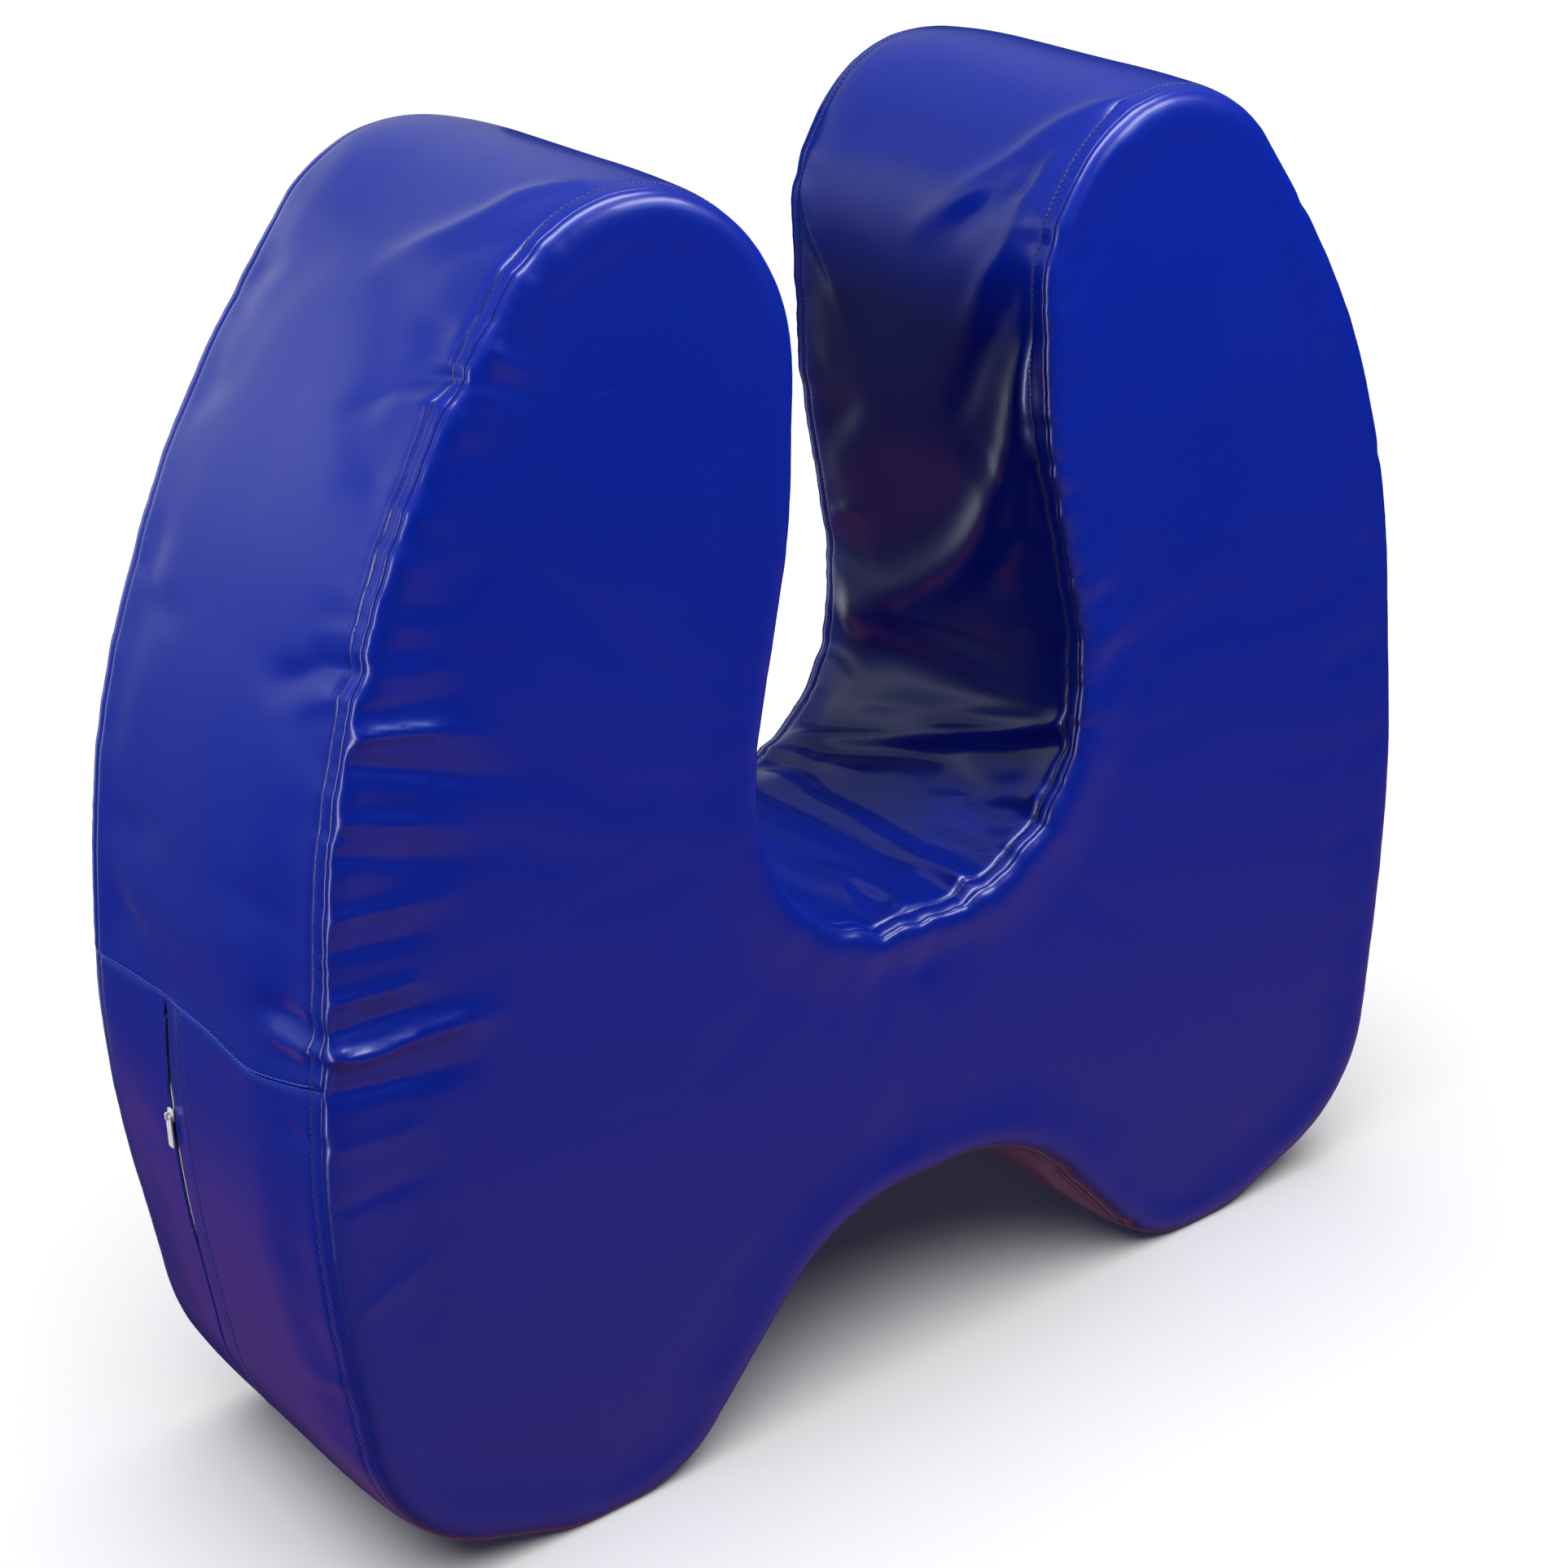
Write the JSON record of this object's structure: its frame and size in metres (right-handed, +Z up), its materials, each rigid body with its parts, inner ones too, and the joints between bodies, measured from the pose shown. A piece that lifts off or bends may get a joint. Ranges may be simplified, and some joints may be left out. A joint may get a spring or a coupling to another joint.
{
  "type": "foam squeeze seat",
  "caption": "H-shaped upholstered foam block: tall rounded lobes hug a sitter in a keyhole slot, rounded feet stand either side of an arch, and a side zip opens the glossy cover.",
  "frame": {"origin": "on the floor under the middle of the block, halfway through its depth", "axes": "+Z up, +X to the right when facing the front panel, +Y towards the rear panel; the slot runs through the block along Y"},
  "size_m": [1.0173, 0.297, 0.9377],
  "materials": {
    "foam_core": "open-cell polyurethane foam, matte and pale cream, cut with a contour wire",
    "cover_fabric": "polyurethane-coated woven polyester, glossy royal blue, tensioned and softly puckered at its seams",
    "sewing_thread": "bonded polyester thread, semi-matte blue",
    "zip_tape": "woven polyester zip tape, white",
    "zip_plastic": "moulded polyester coil and stops, white",
    "slider_finish": "die-cast zip slider and pull, white enamel"
  },
  "bodies": {
    "padded_block": {"core_slab_front": "foam_core", "core_slab_middle": "foam_core", "core_slab_rear": "foam_core", "front_panel": "cover_fabric", "rear_panel": "cover_fabric", "upper_gusset_band": "cover_fabric", "lower_gusset_front": "cover_fabric", "lower_gusset_rear": "cover_fabric", "topstitch_front": "sewing_thread", "topstitch_rear": "sewing_thread", "zip_lap_stitch": "sewing_thread", "cross_seam_stitch_left": "sewing_thread", "cross_seam_stitch_right": "sewing_thread", "zip_tape_front": "zip_tape", "zip_tape_rear": "zip_tape", "zip_coil_front": "zip_plastic", "zip_coil_rear": "zip_plastic", "zip_top_stop_front": "zip_plastic", "zip_top_stop_rear": "zip_plastic", "zip_bottom_stop": "zip_plastic"},
    "zip_slider": {"slider_body": "slider_finish"},
    "zip_pull": {"pull_tab": "slider_finish"}
  },
  "joints": [
    {"name": "slider_travel", "type": "hinge", "parent": "padded_block", "child": "zip_slider", "pos_m": [0.3247, 0.047, 0.31161], "axis": [0, 1, 0], "range_deg": [-6.8, 4.4]},
    {"name": "pull_tab_swivel", "type": "hinge", "parent": "zip_slider", "child": "zip_pull", "pos_m": [-0.50899, 0.047, 0.31702], "axis": [0, 1, 0], "range_deg": [0, 165]}
  ]
}
